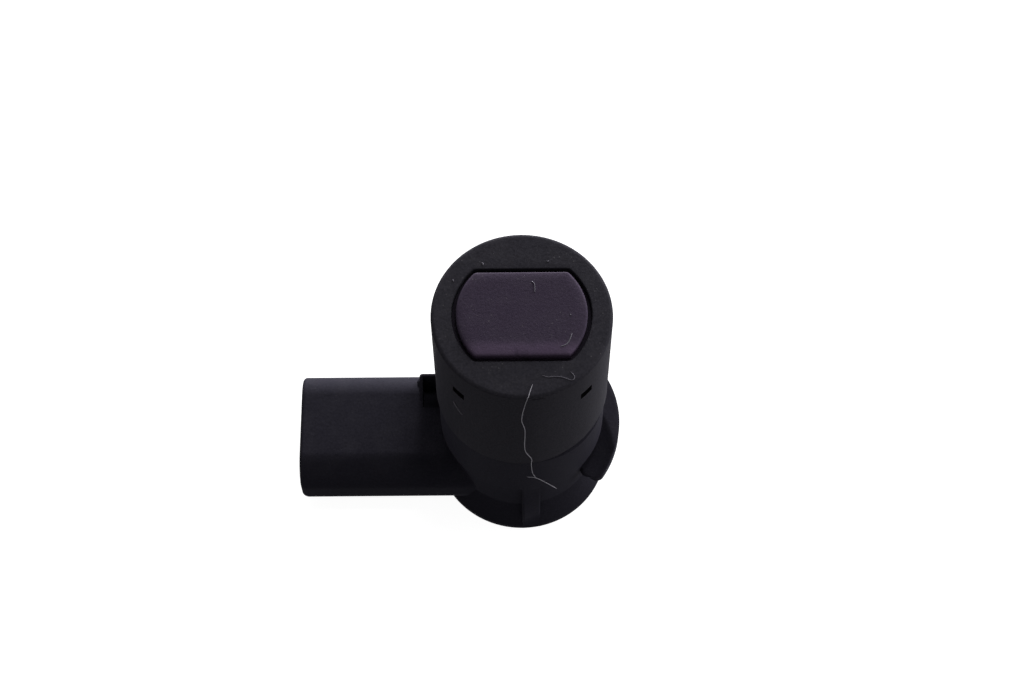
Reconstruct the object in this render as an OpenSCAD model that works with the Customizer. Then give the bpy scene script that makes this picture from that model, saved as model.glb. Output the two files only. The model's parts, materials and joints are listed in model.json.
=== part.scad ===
// Ultrasonic parking sensor: a round sensing head on a moulded housing with a plug socket at its side.
// It stands on its rear face. +Z runs up the head's axis to the sensing face, the socket's mouth looks
// along -X, and the origin is the middle of the rear face.

/* [Head sleeve] */
// Outside diameter of the head
head_d = 23; // [23:0.5:26]
// Height of the sensing face above the rear face
face_h = 44.5; // [43.5:0.5:50]
// Height of the sleeve's lower edge above the rear face
sleeve_low = 23; // [22.5:0.5:25]
// Open gap under the sleeve's lower edge
sleeve_gap = 0.4; // [0.2:0.1:0.8]
// Wall of the sleeve
sleeve_wall = 1.3; // [1.1:0.1:1.4]
// Thickness of the ring around the sensing face
face_t = 2; // [1.6:0.1:2.4]
// Rounding of the head's rim
rim_r = 0.6; // [0.3:0.1:0.8]
// Width of each of the four snap windows
window_w = 2; // [1.4:0.1:2.6]
// Height of each snap window
window_h = 1.3; // [1:0.1:1.5]
// Distance of the snap windows' middle below the sensing face
window_drop = 5.9; // [5.7:0.1:6.3]

/* [Transducer] */
// Width of the membrane across its round sides
membrane_w = 16.5; // [14:0.5:16.5]
// Height of the membrane across its flats
membrane_h = 11.6; // [10:0.2:12.4]
// How far the membrane stands proud of the face
membrane_proud = 0.45; // [0:0.05:0.8]
// Thickness of the membrane
membrane_t = 0.7; // [0.5:0.1:1]
// Wall of the membrane's cup
cup_wall = 0.9; // [0.7:0.1:1.1]
// How far the cup's lip stands out beyond the membrane
lip_w = 0.3; // [0.2:0.05:0.6]
// Thickness of the cup's lip
lip_t = 1.4; // [1:0.1:1.8]
// Width of the groove around the membrane
groove_w = 0.68; // [0.4:0.02:0.8]
// Depth of the groove below the face
groove_depth = 1.2; // [0.6:0.1:1.5]
// Thickness of the decoupling ring's flange
ring_flange_t = 2.9; // [2.8:0.1:3]
// Thickness of the soft washer under the cup's lip
washer_t = 0.8; // [0.5:0.1:1.2]
// Diameter of the piezo disc
piezo_d = 7; // [6:0.5:8]
// Thickness of the piezo disc
piezo_t = 0.35; // [0.2:0.05:0.5]
// Height of the damping foam
foam_h = 4.6; // [3:0.2:5]
// Diameter of the two piezo leads
lead_d = 0.6; // [0.4:0.1:0.8]

/* [Housing] */
// How far the housing's collar steps in below the sleeve
collar_step = 0.25; // [0.2:0.05:0.4]
// How far the housing's neck steps in below the head
neck_step = 0.9; // [0.6:0.1:1.1]
// Height of the collar's lower edge above the rear face
collar_low = 12.8; // [12:0.2:13.2]
// How far the base rim stands out beyond the head
base_out = 0.5; // [0.2:0.1:0.8]
// Height of the base rim
base_t = 3.3; // [2.8:0.1:3.6]
// Rounding of the base rim's edges
base_r = 0.5; // [0.2:0.1:0.8]
// Wall of the neck
neck_wall = 1.2; // [1:0.1:1.4]
// Thread diameter of the sealing ring under the sleeve
seal_d = 1.2; // [1:0.1:1.4]

/* [Plug socket] */
// Distance of the socket's mouth from the head's axis
socket_reach = 31; // [29:0.5:34]
// Width of the socket
socket_w = 16.8; // [15:0.2:17]
// Height of the socket
socket_h = 10; // [9:0.2:10.4]
// Height of the socket's middle above the rear face
socket_z = 5.4; // [5.2:0.1:5.6]
// Rounding of the socket's corners
socket_r = 4; // [3:0.2:4.4]
// Wall of the socket
socket_wall = 1.5; // [1.3:0.1:1.8]
// Depth of the socket
socket_depth = 16.5; // [15:0.5:17]
// Distance between neighbouring terminal pins
pin_pitch = 3.5; // [3:0.1:3.6]
// Width of a terminal pin
pin_w = 1.2; // [0.8:0.1:1.5]
// Thickness of a terminal pin
pin_t = 0.64; // [0.5:0.02:0.8]
// How far the pins stand into the socket
pin_out = 9.5; // [8:0.5:10]

/* [Retention] */
// How far the retention wing stands out beyond the head
wing_out = 2.2; // [2:0.1:3]
// Thickness of the wing's rim
wing_rim = 0.9; // [0.7:0.1:1.1]
// Height of the retention wing
wing_h = 2.75; // [2.4:0.05:3]
// Height of the wing's top above the rear face
wing_top = 11.1; // [10.5:0.1:11.3]
// Angle of the wing's open end, in front of the head's side
wing_front = 39; // [30:1:42]
// Angle of the wing's closed end, behind the head's side
wing_back = 36; // [30:1:42]
// Angle that the wing's closed end takes up
web_angle = 24; // [14:1:26]
// Depth of the channel behind the wing's rim
channel_depth = 2; // [1:0.1:2.2]
// Angle that the rib in front of the neck takes up
rib_angle = 13; // [8:1:16]
// How far the stop lug stands out beyond the head
lug_out = 2.8; // [2.4:0.1:3.6]
// Depth of the stop lug, front to back
lug_d = 5; // [4:0.1:5.4]
// Distance of the stop lug's middle behind the head's axis
lug_y = 4.4; // [4:0.1:4.6]
// Height of the stop lug's top above the rear face
lug_top = 12.4; // [11.6:0.1:12.6]
// Depth of the pocket in the stop lug
lug_pocket = 3.6; // [2:0.1:4]
// Wall around the stop lug's pocket
lug_wall = 0.45; // [0.3:0.05:0.7]

/* [Electronics] */
// Thickness of the circuit board
board_t = 1.2; // [0.8:0.1:1.6]
// Height of the circuit board's top above the rear face
board_top = 14.7; // [14.2:0.1:15.2]
// Width of the ledge that the circuit board lies against
ledge_w = 0.8; // [0.5:0.1:0.9]
// Height of the transformer's core
core_h = 6; // [5:0.2:7]
// Length of the control chip
chip_l = 7.4; // [6:0.2:8]
// Diameter of the storage capacitor
can_d = 4; // [3:0.2:4.2]

/* [Rear cover] */
// Thickness of the rear cover
cover_t = 1.2; // [1:0.1:1.6]
// Thickness of the gasket under the rear cover
gasket_t = 0.4; // [0.3:0.1:0.8]
// Height of the cover's spigot
spigot_h = 1.6; // [1:0.1:2]

/* [Hidden] */
$fn = 72;

// Clearances: sleeve on tube, pieces in their seats, and leads in their holes
sleeve_fit = 0.15;
seat_fit = 0.15;
hole_fit = 0.1;
// Overlap where two shapes of one moulding grow together
grow = 0.4;

// Radii from the head's axis, outside to inside
head_r = head_d / 2;
base_rad = head_r + base_out;
collar_rad = head_r - collar_step;
neck_rad = head_r - neck_step;
sleeve_in = head_r - sleeve_wall;
tube_rad = sleeve_in - sleeve_fit;
tube_in = membrane_w / 2 + lip_w + seat_fit;
shoulder_w = 0.9;
tube_low_in = tube_in - shoulder_w;
chamber_rad = neck_rad - neck_wall;
chamber_top_rad = chamber_rad - ledge_w;
board_rad = chamber_rad - seat_fit;
lip_rad = tube_in - seat_fit;
wing_r = head_r + wing_out;
lug_reach = head_r + lug_out;

// Heights above the rear face
collar_top = sleeve_low - sleeve_gap;
face_under = face_h - face_t;
tube_top = face_under - ring_flange_t;
lip_low = tube_top - lip_t;
washer_low = lip_low - washer_t;
membrane_top = face_h + membrane_proud;
cup_roof = membrane_top - membrane_t;
piezo_low = cup_roof - piezo_t;
foam_low = piezo_low - foam_h;
window_z = face_h - window_drop;
seal_up = 3;
seal_z = sleeve_low + seal_up;
chamber_top = collar_top - 1;
board_low = board_top - board_t;
seat_h = cover_t + gasket_t;
lug_pocket_low = lug_top - lug_pocket;

// Sizes of the parts on the board
base_plate_t = 0.8;
base_plate_out = 0.4;
flange_t = 1;
post_d = 3.4;
chip_t = 1.6;
chip_lift = 0.1;
leg_w = 0.4;
leg_out = 0.9;
leg_pitch = 1.27;
can_h = 4.6;
can_foot = 0.8;
can_foot_out = 0.1;
diode = [4.2, 2.6, 2.1];
block_l = 1.6;
block_w = 0.8;
capacitor_h = 0.8;
resistor_h = 0.45;
part_gap = 0.7;

// Places across the board, each from its edge or its neighbour
lead_share = 0.605;
lead_x = round(10 * lead_share * board_rad) / 10;
signal_x = piezo_d / 2 - 5 * lead_d / 2;
return_x = piezo_d / 2 + lead_d / 2 + grow;
bend_drop = 4.4;
bend_z = washer_low - bend_drop;
pin_foot_x = lead_x + lead_d / 2 + pin_t / 2 + part_gap;
core_d = 2 * (lead_x - lead_d / 2 - base_plate_out - part_gap);
small_ring = chamber_top_rad - block_w - leg_out;
parts_x = chip_lift + leg_out;
can_y = board_rad - can_d / 2 - part_gap - grow - hole_fit;
chip_w = 2 * (can_y - can_d / 2 - can_foot_out - grow - leg_out);
diode_y = board_rad - diode.y / 2 - 3 * part_gap;
socket_floor = socket_reach - socket_depth;
lug_back = 0.25;

// Outline of a circle with two flats, w across the round sides and h across the flats
module flatted(w, h) {
    intersection() {
        circle(d = w);
        square([w + 1, h], center = true);
    }
}

// Rectangle with round corners
module rounded(w, h, r) {
    square([w - 2 * r, h], center = true);
    square([w, h - 2 * r], center = true);
    for (x = [-1, 1], y = [-1, 1])
        translate([x * (w / 2 - r), y * (h / 2 - r)]) circle(r = r, $fn = 48);
}

// Upright bar of a flat outline that lies in the plane of X and Z
module upright(width) {
    rotate([90, 0, 0]) linear_extrude(width, center = true) children();
}

// Bar along -X with the given cross-section, from one distance off the axis to another
module sideways(from, to) {
    translate([-from, 0, socket_z]) rotate([0, -90, 0]) rotate([0, 0, 90]) linear_extrude(to - from)
        children();
}

// Part of a ring between two angles, rectangular in section
module ring_sector(r_in, r_out, z, h, from, to) {
    rotate([0, 0, from]) rotate_extrude(angle = to - from) translate([r_in, z]) square([r_out - r_in, h]);
}

// Outline of the sleeve's revolved shell, with its rim rounded
module sleeve_outline() {
    translate([0, face_under]) square([head_r - rim_r, face_t]);
    translate([sleeve_in, sleeve_low]) square([sleeve_wall, face_h - rim_r - sleeve_low]);
    translate([head_r - rim_r, face_h - rim_r]) circle(r = rim_r, $fn = 32);
}

// Sleeve with its flatted opening and four snap windows
module front_sleeve() {
    color([0.16, 0.16, 0.18]) difference() {
        rotate_extrude() sleeve_outline();
        translate([0, 0, face_under - 1]) linear_extrude(face_t + 2)
            flatted(membrane_w + 2 * groove_w, membrane_h + 2 * groove_w);
        for (a = [45:90:315])
            rotate([0, 0, a]) translate([sleeve_in - 1, -window_w / 2, window_z - window_h / 2])
                cube([sleeve_wall + 2, window_w, window_h]);
    }
}

// Deep-drawn cup whose roof is the membrane
module membrane_cup() {
    color([0.19, 0.17, 0.22]) difference() {
        union() {
            translate([0, 0, lip_low]) linear_extrude(membrane_top - lip_low) flatted(membrane_w, membrane_h);
            translate([0, 0, lip_low]) cylinder(r = lip_rad, h = lip_t);
        }
        translate([0, 0, lip_low - 1]) linear_extrude(cup_roof - lip_low + 1)
            flatted(membrane_w - 2 * cup_wall, membrane_h - 2 * cup_wall);
    }
}

// Soft ring between the cup and the sleeve's opening
module decoupling_ring() {
    color([0.07, 0.07, 0.08]) difference() {
        union() {
            translate([0, 0, tube_top]) cylinder(r = tube_rad, h = ring_flange_t);
            translate([0, 0, face_under - grow]) linear_extrude(face_t + grow - groove_depth)
                flatted(membrane_w + 2 * groove_w, membrane_h + 2 * groove_w);
        }
        translate([0, 0, tube_top - 1]) linear_extrude(ring_flange_t + face_t + 2)
            flatted(membrane_w, membrane_h);
    }
}

// Soft washer between the cup's lip and the tube's shoulder
module soft_washer() {
    color([0.3, 0.3, 0.32]) translate([0, 0, washer_low]) difference() {
        cylinder(r = lip_rad, h = washer_t);
        translate([0, 0, -1]) cylinder(r = tube_low_in, h = washer_t + 2);
    }
}

// Disc that drives the membrane from inside
module piezo_disc() {
    color([0.8, 0.74, 0.55]) translate([0, 0, piezo_low]) cylinder(d = piezo_d, h = piezo_t);
}

// Foam behind the disc, with a hole for each lead
module damping_foam() {
    color([0.85, 0.83, 0.78]) difference() {
        translate([0, 0, foam_low]) linear_extrude(foam_h)
            flatted(membrane_w - 2 * cup_wall - 2 * seat_fit, membrane_h - 2 * cup_wall - 2 * seat_fit);
        for (x = [signal_x, -return_x])
            translate([x, 0, foam_low - 1]) cylinder(d = lead_d + 2 * hole_fit, h = foam_h + 2, $fn = 32);
    }
}

// Lead with two quarter bends from the transducer out to its hole in the board
module lead(x_top, z_top) {
    r = (lead_x - x_top) / 2;
    translate([x_top, 0, bend_z]) cylinder(d = lead_d, h = z_top - bend_z, $fn = 24);
    translate([x_top + r, 0, bend_z]) rotate([90, 0, 0]) rotate([0, 0, 180])
        rotate_extrude(angle = 90) translate([r, 0]) circle(d = lead_d, $fn = 24);
    translate([x_top + r, 0, bend_z - 2 * r]) rotate([90, 0, 0])
        rotate_extrude(angle = 90) translate([r, 0]) circle(d = lead_d, $fn = 24);
    translate([lead_x, 0, board_low]) cylinder(d = lead_d, h = bend_z - 2 * r - board_low, $fn = 24);
}

// Lead from the disc's back
module lead_signal() {
    color([0.6, 0.1, 0.08]) lead(signal_x, piezo_low);
}

// Lead from the cup's roof
module lead_return() {
    color([0.1, 0.1, 0.1]) mirror([1, 0, 0]) lead(return_x, cup_roof);
}

// Sealing ring in the tube's groove
module sleeve_seal() {
    color([0.05, 0.05, 0.05]) translate([0, 0, seal_z]) rotate_extrude()
        translate([sleeve_in - seal_d / 2, 0]) circle(d = seal_d, $fn = 32);
}

// Revolved outline of the housing: base rim, neck, collar and tube
module housing_outline() {
    square([base_rad - base_r, base_t]);
    translate([0, base_r]) square([base_rad, base_t - 2 * base_r]);
    for (z = [base_r, base_t - base_r])
        translate([base_rad - base_r, z]) circle(r = base_r, $fn = 32);
    square([neck_rad, collar_low + grow]);
    translate([0, collar_low]) square([collar_rad, collar_top - collar_low]);
    square([tube_rad, tube_top]);
}

// Snap hook that stands in a window of the sleeve, flat below and ramped above
module snap_hook() {
    low = window_z - window_h / 2 + hole_fit;
    high = window_z + window_h / 2 - hole_fit;
    out = tube_rad + 0.75;
    upright(window_w - 2 * hole_fit)
        polygon([[tube_rad - grow, low], [out, low], [out, low + 0.4], [tube_rad - grow, high]]);
}

// Wing that stands out at the side away from the socket
module retention_wing() {
    ring_sector(neck_rad - grow, wing_r, wing_top - wing_h, wing_h, -wing_front, wing_back);
}

// Channel between the wing's rim and the neck, open at its top and at its front end
module wing_channel() {
    ring_sector(neck_rad + hole_fit, wing_r - wing_rim, wing_top - channel_depth, channel_depth + 1,
        -wing_front - 4, wing_back - web_angle);
}

// Rib in front of the neck, from the base rim up to the collar
module front_rib() {
    ring_sector(neck_rad - grow, collar_rad - hole_fit, base_t - base_r, collar_low - base_t + base_r + grow,
        -90, rib_angle - 90);
}

// Stop lug over the socket's root
module stop_lug() {
    translate([-lug_reach, lug_y - lug_d / 2, socket_z])
        cube([lug_reach - neck_rad + 2, lug_d, lug_top - socket_z]);
}

// Pocket that is open at the stop lug's top
module lug_hollow() {
    translate([-lug_reach + lug_wall, lug_y - lug_d / 2 + lug_wall, lug_pocket_low])
        cube([lug_out - lug_wall - lug_back, lug_d - 2 * lug_wall, lug_pocket + 1]);
}

// The rear seat, the chamber, the board's ledge and the inside of the tube
module housing_inside() {
    translate([0, 0, -1]) cylinder(r = chamber_rad + ledge_w, h = seat_h + 1);
    translate([0, 0, -1]) cylinder(r = chamber_rad, h = board_top + 1);
    translate([0, 0, -1]) cylinder(r = chamber_top_rad, h = chamber_top + 1);
    translate([0, 0, -1]) cylinder(r = tube_low_in, h = tube_top + 2);
    translate([0, 0, washer_low]) cylinder(r = tube_in, h = tube_top - washer_low + 1);
}

// Groove that holds the sealing ring
module seal_groove() {
    translate([0, 0, seal_z - seal_d / 2 - hole_fit]) difference() {
        cylinder(r = tube_rad + 1, h = seal_d + 2 * hole_fit);
        translate([0, 0, -1]) cylinder(r = sleeve_in - seal_d, h = seal_d + 3);
    }
}

// Moulding with the base rim, neck, collar, tube, plug socket, retention wing and stop lug
module housing() {
    color([0.11, 0.11, 0.12]) difference() {
        union() {
            rotate_extrude() housing_outline();
            sideways(neck_rad - 2, socket_reach) rounded(socket_w, socket_h, socket_r);
            for (a = [45:90:315])
                rotate([0, 0, a]) snap_hook();
            retention_wing();
            front_rib();
            stop_lug();
        }
        housing_inside();
        seal_groove();
        sideways(socket_floor, socket_reach + 1)
            rounded(socket_w - 2 * socket_wall, socket_h - 2 * socket_wall, socket_r - socket_wall);
        for (i = [-1:1])
            translate([-socket_floor - 1, i * pin_pitch - pin_w / 2, socket_z - pin_t / 2])
                cube([socket_floor, pin_w, pin_t]);
        lug_hollow();
        wing_channel();
    }
}

// Round board with holes for the leads and the pins
module circuit_board() {
    color([0.08, 0.3, 0.16]) difference() {
        translate([0, 0, board_low]) cylinder(r = board_rad, h = board_t);
        for (x = [lead_x, -lead_x])
            translate([x, 0, board_low - 1]) cylinder(d = lead_d + 2 * hole_fit, h = board_t + 2, $fn = 32);
        for (i = [-1:1])
            translate([-pin_foot_x - pin_t / 2 - hole_fit, i * pin_pitch - pin_w / 2 - hole_fit, board_low - 1])
                cube([pin_t + 2 * hole_fit, pin_w + 2 * hole_fit, board_t + 2]);
    }
}

// Foot that carries the transformer on the board
module transformer_base() {
    color([0.12, 0.12, 0.13]) translate([0, 0, board_top]) cylinder(d = core_d + 2 * base_plate_out, h = base_plate_t);
}

// Drum core: two flanges on one post
module transformer_core() {
    color([0.25, 0.25, 0.26]) translate([0, 0, board_top + base_plate_t]) {
        cylinder(d = core_d, h = flange_t);
        cylinder(d = post_d, h = core_h);
        translate([0, 0, core_h - flange_t]) cylinder(d = core_d, h = flange_t);
    }
}

// Wire wound between the core's flanges
module transformer_winding() {
    color([0.7, 0.38, 0.16]) translate([0, 0, board_top + base_plate_t + flange_t]) difference() {
        cylinder(d = core_d - 1, h = core_h - 2 * flange_t);
        translate([0, 0, -1]) cylinder(d = post_d, h = core_h);
    }
}

// Chip under the board with a row of legs on either side
module control_chip() {
    color([0.09, 0.09, 0.1]) translate([parts_x, 0, board_low]) mirror([0, 0, 1]) {
        translate([-chip_l / 2, -chip_w / 2, chip_lift]) cube([chip_l, chip_w, chip_t]);
        for (i = [-2:2], s = [-1, 1])
            translate([i * leg_pitch - leg_w / 2, s * chip_w / 2 - leg_out, 0])
                cube([leg_w, 2 * leg_out, chip_t / 2]);
    }
}

// Can on a square foot under the board
module storage_capacitor() {
    color([0.7, 0.7, 0.72]) translate([parts_x, can_y, board_low]) mirror([0, 0, 1]) {
        foot = can_d + 2 * can_foot_out;
        translate([-foot / 2, -foot / 2, 0]) cube([foot, foot, can_foot]);
        cylinder(d = can_d, h = can_foot + can_h);
    }
}

// Block under the board
module protection_diode() {
    color([0.1, 0.1, 0.11]) translate([parts_x, -diode_y, board_low - diode.z / 2])
        cube(diode, center = true);
}

// Blocks that lie around the transformer on the board
module around(angles, height) {
    for (a = angles)
        rotate([0, 0, a]) translate([small_ring, 0, board_top + height / 2])
            cube([block_w, block_l, height], center = true);
}

// Four ceramic blocks
module chip_capacitors() {
    color([0.66, 0.55, 0.42]) around([60, 120, 240, 300], capacitor_h);
}

// Four flat blocks
module chip_resistors() {
    color([0.12, 0.12, 0.13]) around([30, 90, 270, 330], resistor_h);
}

// Flat pin that runs from the socket into the chamber and turns up through the board
module terminal_pin(i) {
    tip = socket_floor + pin_out;
    foot = pin_foot_x - pin_t / 2;
    top = board_top;
    color([0.78, 0.76, 0.7]) translate([0, i * pin_pitch, 0]) upright(pin_w) polygon([
        [-tip, socket_z - pin_t / 5], [-tip + 1, socket_z - pin_t / 2], [-foot, socket_z - pin_t / 2],
        [-foot, top], [-foot - pin_t, top], [-foot - pin_t, socket_z + pin_t / 2],
        [-tip + 1, socket_z + pin_t / 2], [-tip, socket_z + pin_t / 5]]);
}

// Gasket between the rear cover and its seat
module cover_gasket() {
    color([0.2, 0.2, 0.21]) translate([0, 0, cover_t]) difference() {
        cylinder(r = chamber_rad + ledge_w - seat_fit, h = gasket_t);
        translate([0, 0, -1]) cylinder(r = chamber_rad - seat_fit, h = gasket_t + 2);
    }
}

// Cover let flush into the rear face, with a spigot in the chamber
module rear_cover() {
    color([0.1, 0.1, 0.11]) {
        cylinder(r = chamber_rad + ledge_w - seat_fit, h = cover_t);
        difference() {
            cylinder(r = chamber_rad - seat_fit, h = seat_h + spigot_h);
            translate([0, 0, cover_t]) cylinder(r = chamber_rad - 1.2, h = seat_h + spigot_h);
        }
    }
}

front_sleeve();
membrane_cup();
decoupling_ring();
soft_washer();
piezo_disc();
damping_foam();
lead_signal();
lead_return();
sleeve_seal();
housing();
circuit_board();
transformer_base();
transformer_core();
transformer_winding();
control_chip();
storage_capacitor();
protection_diode();
chip_capacitors();
chip_resistors();
terminal_pin(-1);  // terminal_pin_1
terminal_pin(0);  // terminal_pin_2
terminal_pin(1);  // terminal_pin_3
cover_gasket();
rear_cover();
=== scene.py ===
"""Looks of an ultrasonic parking sensor that stands on its rear face, its plug socket at its left."""

import json
import logging
import math
from dataclasses import dataclass, field
from enum import Enum
from typing import Sequence

import bmesh
import bpy
import numpy as np
from mathutils import Matrix


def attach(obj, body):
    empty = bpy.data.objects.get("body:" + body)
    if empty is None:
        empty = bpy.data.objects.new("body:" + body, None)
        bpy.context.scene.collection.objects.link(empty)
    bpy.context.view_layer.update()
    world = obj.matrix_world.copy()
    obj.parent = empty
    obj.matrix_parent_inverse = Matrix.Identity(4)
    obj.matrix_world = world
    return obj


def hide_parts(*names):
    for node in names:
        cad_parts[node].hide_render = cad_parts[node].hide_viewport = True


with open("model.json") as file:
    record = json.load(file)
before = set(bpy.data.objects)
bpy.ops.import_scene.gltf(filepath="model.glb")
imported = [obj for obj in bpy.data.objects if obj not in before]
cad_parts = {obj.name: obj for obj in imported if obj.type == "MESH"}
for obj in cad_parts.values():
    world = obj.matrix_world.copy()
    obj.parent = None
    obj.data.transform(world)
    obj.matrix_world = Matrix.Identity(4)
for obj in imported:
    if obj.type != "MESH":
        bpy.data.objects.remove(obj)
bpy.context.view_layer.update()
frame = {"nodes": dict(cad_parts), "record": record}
LOG = logging.getLogger("parking_sensor")
MM = 0.001
BODY = "root"
FRAME_PX = (1024.0, 683.0)
WINDOW_DEG = np.array([45.0, 135.0, 225.0, 315.0])
GAP_MIDDLE_DEG, GAP_FULL_DEG, GAP_END_DEG = -38.0, 8.0, 44.0
Array = np.ndarray
Colour = tuple[float, float, float]


# Geometry

def linear(colour: Colour) -> tuple[float, float, float, float]:
    """Turns a display colour into the linear colour a shader takes.

    Args:
        colour: red, green and blue as seen on a screen, each 0 to 1.

    Returns:
        The linear colour with an alpha of 1.
    """
    c = np.asarray(colour, float)
    low, high = c / 12.92, ((c + 0.055) / 1.055) ** 2.4
    return (*np.where(c <= 0.04045, low, high).tolist(), 1.0)


def smooth(edge0: float, edge1: float, x: Array) -> Array:
    """Soft step: rises from 0 at edge0 to 1 at edge1 along 3t^2 - 2t^3.

    Args:
        edge0: value at which the step starts.
        edge1: value at which the step ends.
        x: values to map.

    Returns:
        One level per value, 0 to 1.
    """
    t = np.clip((x - edge0) / (edge1 - edge0), 0.0, 1.0)
    return t * t * (3.0 - 2.0 * t)


def aside(angles: Array, middle_deg: float) -> Array:
    """Turn from a middle direction to each angle.

    Args:
        angles: angles about the axis, in radians.
        middle_deg: the middle direction, in degrees.

    Returns:
        Degrees between -180 and 180, one per angle.
    """
    return np.degrees((angles - math.radians(middle_deg) + math.pi) % (2 * math.pi) - math.pi)


def gap_share(angles: Array) -> Array:
    """Share of the gap's extra width under the sleeve: a soft step about its middle, at the right.

    Args:
        angles: angles about the axis, in radians.

    Returns:
        One share per angle, 0 to 1.
    """
    return smooth(GAP_END_DEG, GAP_FULL_DEG, np.abs(aside(angles, GAP_MIDDLE_DEG)))


def flatted(angles: Array, half_w: float, half_h: float) -> Array:
    """Radius of a circle with two flats, at each angle.

    The radius is the smaller of half_w and half_h / |sin a|, blended by a power mean that rounds the corners.

    Args:
        angles: angles about the axis, in radians.
        half_w: radius of the round sides.
        half_h: distance of the flats from the axis.

    Returns:
        One radius per angle.
    """
    sine = np.maximum(np.abs(np.sin(angles)), 1e-6)
    power = 90.0
    return ((1.0 / half_w) ** power + (sine / half_h) ** power) ** (-1.0 / power)


def filleted(corners: Sequence[tuple[float, float, float]], closed: bool = True, steps: int = 7) -> Array:
    """Rounds the corners of a flat outline.

    Each corner (x, y, r) gives way to an arc of radius r that is tangent to the two sides that meet there.

    Args:
        corners: the outline's corners, each with its rounding.
        closed: whether the last corner joins the first.
        steps: points on each arc.

    Returns:
        The rounded outline's points, one row each.
    """
    pts = np.array([c[:2] for c in corners], float)
    out = []
    for i, (x, y, r) in enumerate(corners):
        if r <= 0.0 or (not closed and i in (0, len(corners) - 1)):
            out.append(pts[i:i + 1])
            continue
        u, v = pts[i - 1] - pts[i], pts[(i + 1) % len(pts)] - pts[i]
        u, v = u / np.hypot(*u), v / np.hypot(*v)
        half = 0.5 * math.acos(float(np.clip(u @ v, -1.0, 1.0)))
        centre = pts[i] + (u + v) / np.hypot(*(u + v)) * r / math.sin(half)
        first, last = pts[i] + u * r / math.tan(half) - centre, pts[i] + v * r / math.tan(half) - centre
        a0, a1 = math.atan2(first[1], first[0]), math.atan2(last[1], last[0])
        turn = (a1 - a0 + math.pi) % (2 * math.pi) - math.pi
        a = a0 + turn * np.linspace(0.0, 1.0, steps)
        out.append(centre + r * np.stack([np.cos(a), np.sin(a)], -1))
    return np.concatenate(out)


def rounded_rectangle(half_w: float, half_h: float, r: float, steps: int = 14,
                      flats: int = 0) -> tuple[Array, Array]:
    """Outline of a rectangle with round corners, and its outward normals.

    Args:
        half_w: half its width.
        half_h: half its height.
        r: radius of its corners.
        steps: points on each corner.
        flats: points on each side between its corners.

    Returns:
        The points and the unit normals, row by row, anticlockwise.
    """
    a = np.radians(np.array([0.0, 90.0, 180.0, 270.0]))[:, None] + np.linspace(0.0, math.pi / 2, steps)
    normal = np.stack([np.cos(a), np.sin(a)], -1)
    centre = np.array([[1, 1], [-1, 1], [-1, -1], [1, -1]]) * np.array([half_w - r, half_h - r])
    corner = centre[:, None] + r * normal
    t = np.linspace(0.0, 1.0, flats + 2)[None, 1:-1, None]
    side = corner[:, -1:] + t * (np.roll(corner[:, :1], -1, 0) - corner[:, -1:])
    points = np.concatenate([corner, side], 1).reshape(-1, 2)
    return points, np.concatenate([normal, np.repeat(normal[:, -1:], flats, 1)], 1).reshape(-1, 2)


def revolve(radius: Array, height: Array, angles: Array) -> Array:
    """Carries a profile round the Z axis: (r cos a, r sin a, z) for each profile point and angle.

    Args:
        radius: radii, one per profile row, or one per row and angle.
        height: heights in the same form.
        angles: angles about the axis.

    Returns:
        A grid of points, one row per profile point.
    """
    r, z = (np.broadcast_to(v if np.ndim(v) == 2 else np.asarray(v)[:, None], (len(v), len(angles)))
            for v in (radius, height))
    return np.stack([r * np.cos(angles), r * np.sin(angles), z], -1)


@dataclass
class Patchwork:
    """Grids of points, in millimetres, sewn into one mesh."""

    name: str
    points: list[Array] = field(default_factory=list)
    quads: list[Array] = field(default_factory=list)
    count: int = 0

    def add(self, grid: Array, wrap_rows: bool = False, wrap_cols: bool = True) -> None:
        """Joins the neighbours of one grid with quads.

        Args:
            grid: points by row and column.
            wrap_rows: whether the last row joins the first.
            wrap_cols: whether the last column joins the first.
        """
        rows, cols = grid.shape[:2]
        index = self.count + np.arange(rows * cols).reshape(rows, cols)
        index = np.vstack([index, index[:1]]) if wrap_rows else index
        index = np.hstack([index, index[:, :1]]) if wrap_cols else index
        corners = [index[:-1, :-1], index[:-1, 1:], index[1:, 1:], index[1:, :-1]]
        self.quads.append(np.stack(corners, -1).reshape(-1, 4))
        self.points.append(grid.reshape(-1, 3))
        self.count += rows * cols

    def add_swept(self, sections: Array) -> None:
        """Adds closed sections in a row and shuts both ends towards each end's middle.

        Args:
            sections: points by section and by place around it.
        """
        first, last = sections[:1], sections[-1:]
        ends = [np.broadcast_to(s.mean(1, keepdims=True), s.shape) for s in (first, last)]
        self.add(np.concatenate([ends[0], sections, ends[1]]))

    def finish(self, material: bpy.types.Material, slot: str, sharp_deg: float = 38.0) -> bpy.types.Object:
        """Makes the object, closes seams and poles, turns faces outwards and lets it ride.

        Args:
            material: its finish.
            slot: the record's material slot; not used.
            sharp_deg: angle past which an edge stays crisp.

        Returns:
            The new object.
        """
        mesh = bpy.data.meshes.new(self.name)
        mesh.from_pydata((np.concatenate(self.points) * MM).tolist(), [], np.concatenate(self.quads).tolist())
        work = bmesh.new()
        work.from_mesh(mesh)
        bmesh.ops.remove_doubles(work, verts=work.verts, dist=2e-7)
        bmesh.ops.dissolve_degenerate(work, edges=work.edges, dist=2e-8)
        bmesh.ops.recalc_face_normals(work, faces=work.faces)
        work.to_mesh(mesh)
        work.free()
        mesh.shade_smooth()
        mesh.set_sharp_from_angle(angle=math.radians(sharp_deg))
        piece = bpy.data.objects.new(self.name, mesh)
        bpy.context.scene.collection.objects.link(piece)
        piece.modifiers.new("even_shading", "WEIGHTED_NORMAL").keep_sharp = True
        mesh.materials.append(material)
        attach(piece, BODY)
        LOG.info("%s: %d faces", self.name, len(mesh.polygons))
        return piece


# Finishes

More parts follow.
